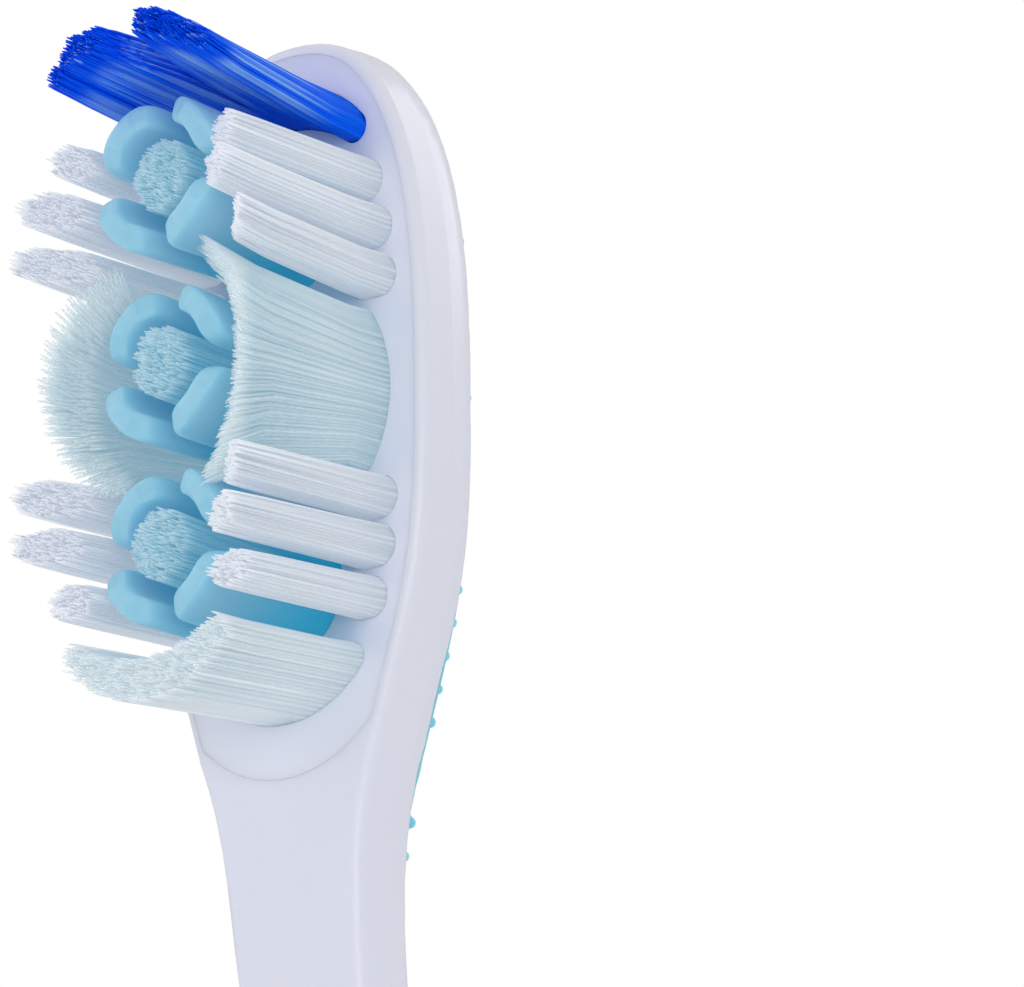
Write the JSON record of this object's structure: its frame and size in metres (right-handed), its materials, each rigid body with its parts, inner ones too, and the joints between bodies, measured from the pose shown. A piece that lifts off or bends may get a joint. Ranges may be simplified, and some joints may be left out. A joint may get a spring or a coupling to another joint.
{
  "type": "manual toothbrush",
  "caption": "Manual toothbrush with a white handle, tufts and soft polishing cups on the front of its oval head, and a nubbed tongue cleaner on the back.",
  "frame": {"origin": "middle of the flat face at the butt of the handle", "axes": "+Z along the handle from the butt to the tip of the head, -Y the way the bristles point, X across the head"},
  "size_m": [0.0158, 0.0239, 0.19],
  "materials": {
    "body_white": "glossy white moulded plastic",
    "plate_white": "glossy white moulded plastic",
    "soft_teal": "satin soft-touch moulding",
    "cup_teal": "translucent soft moulding",
    "bristle_white": "opaque white filaments",
    "bristle_clear": "translucent filaments",
    "bristle_blue": "saturated blue filaments"
  },
  "bodies": {
    "root": {"handle_body": "body_white", "tuft_plate": "plate_white", "tongue_cleaner": "soft_teal", "thumb_grip": "soft_teal", "back_grip": "soft_teal", "polishing_cup_upper": "cup_teal", "polishing_cup_middle": "cup_teal", "polishing_cup_lower": "cup_teal", "cup_tuft_upper": "bristle_clear", "cup_tuft_middle": "bristle_clear", "cup_tuft_lower": "bristle_clear", "tip_tuft": "bristle_blue", "crescent_tuft_left": "bristle_clear", "crescent_tuft_right": "bristle_clear", "heel_tuft": "bristle_clear", "side_tuft_left_upper_1": "bristle_white", "side_tuft_left_upper_2": "bristle_white", "side_tuft_left_upper_3": "bristle_white", "side_tuft_left_lower_1": "bristle_white", "side_tuft_left_lower_2": "bristle_white", "side_tuft_left_lower_3": "bristle_white", "side_tuft_right_upper_1": "bristle_white", "side_tuft_right_upper_2": "bristle_white", "side_tuft_right_upper_3": "bristle_white", "side_tuft_right_lower_1": "bristle_white", "side_tuft_right_lower_2": "bristle_white", "side_tuft_right_lower_3": "bristle_white"}
  },
  "joints": []
}
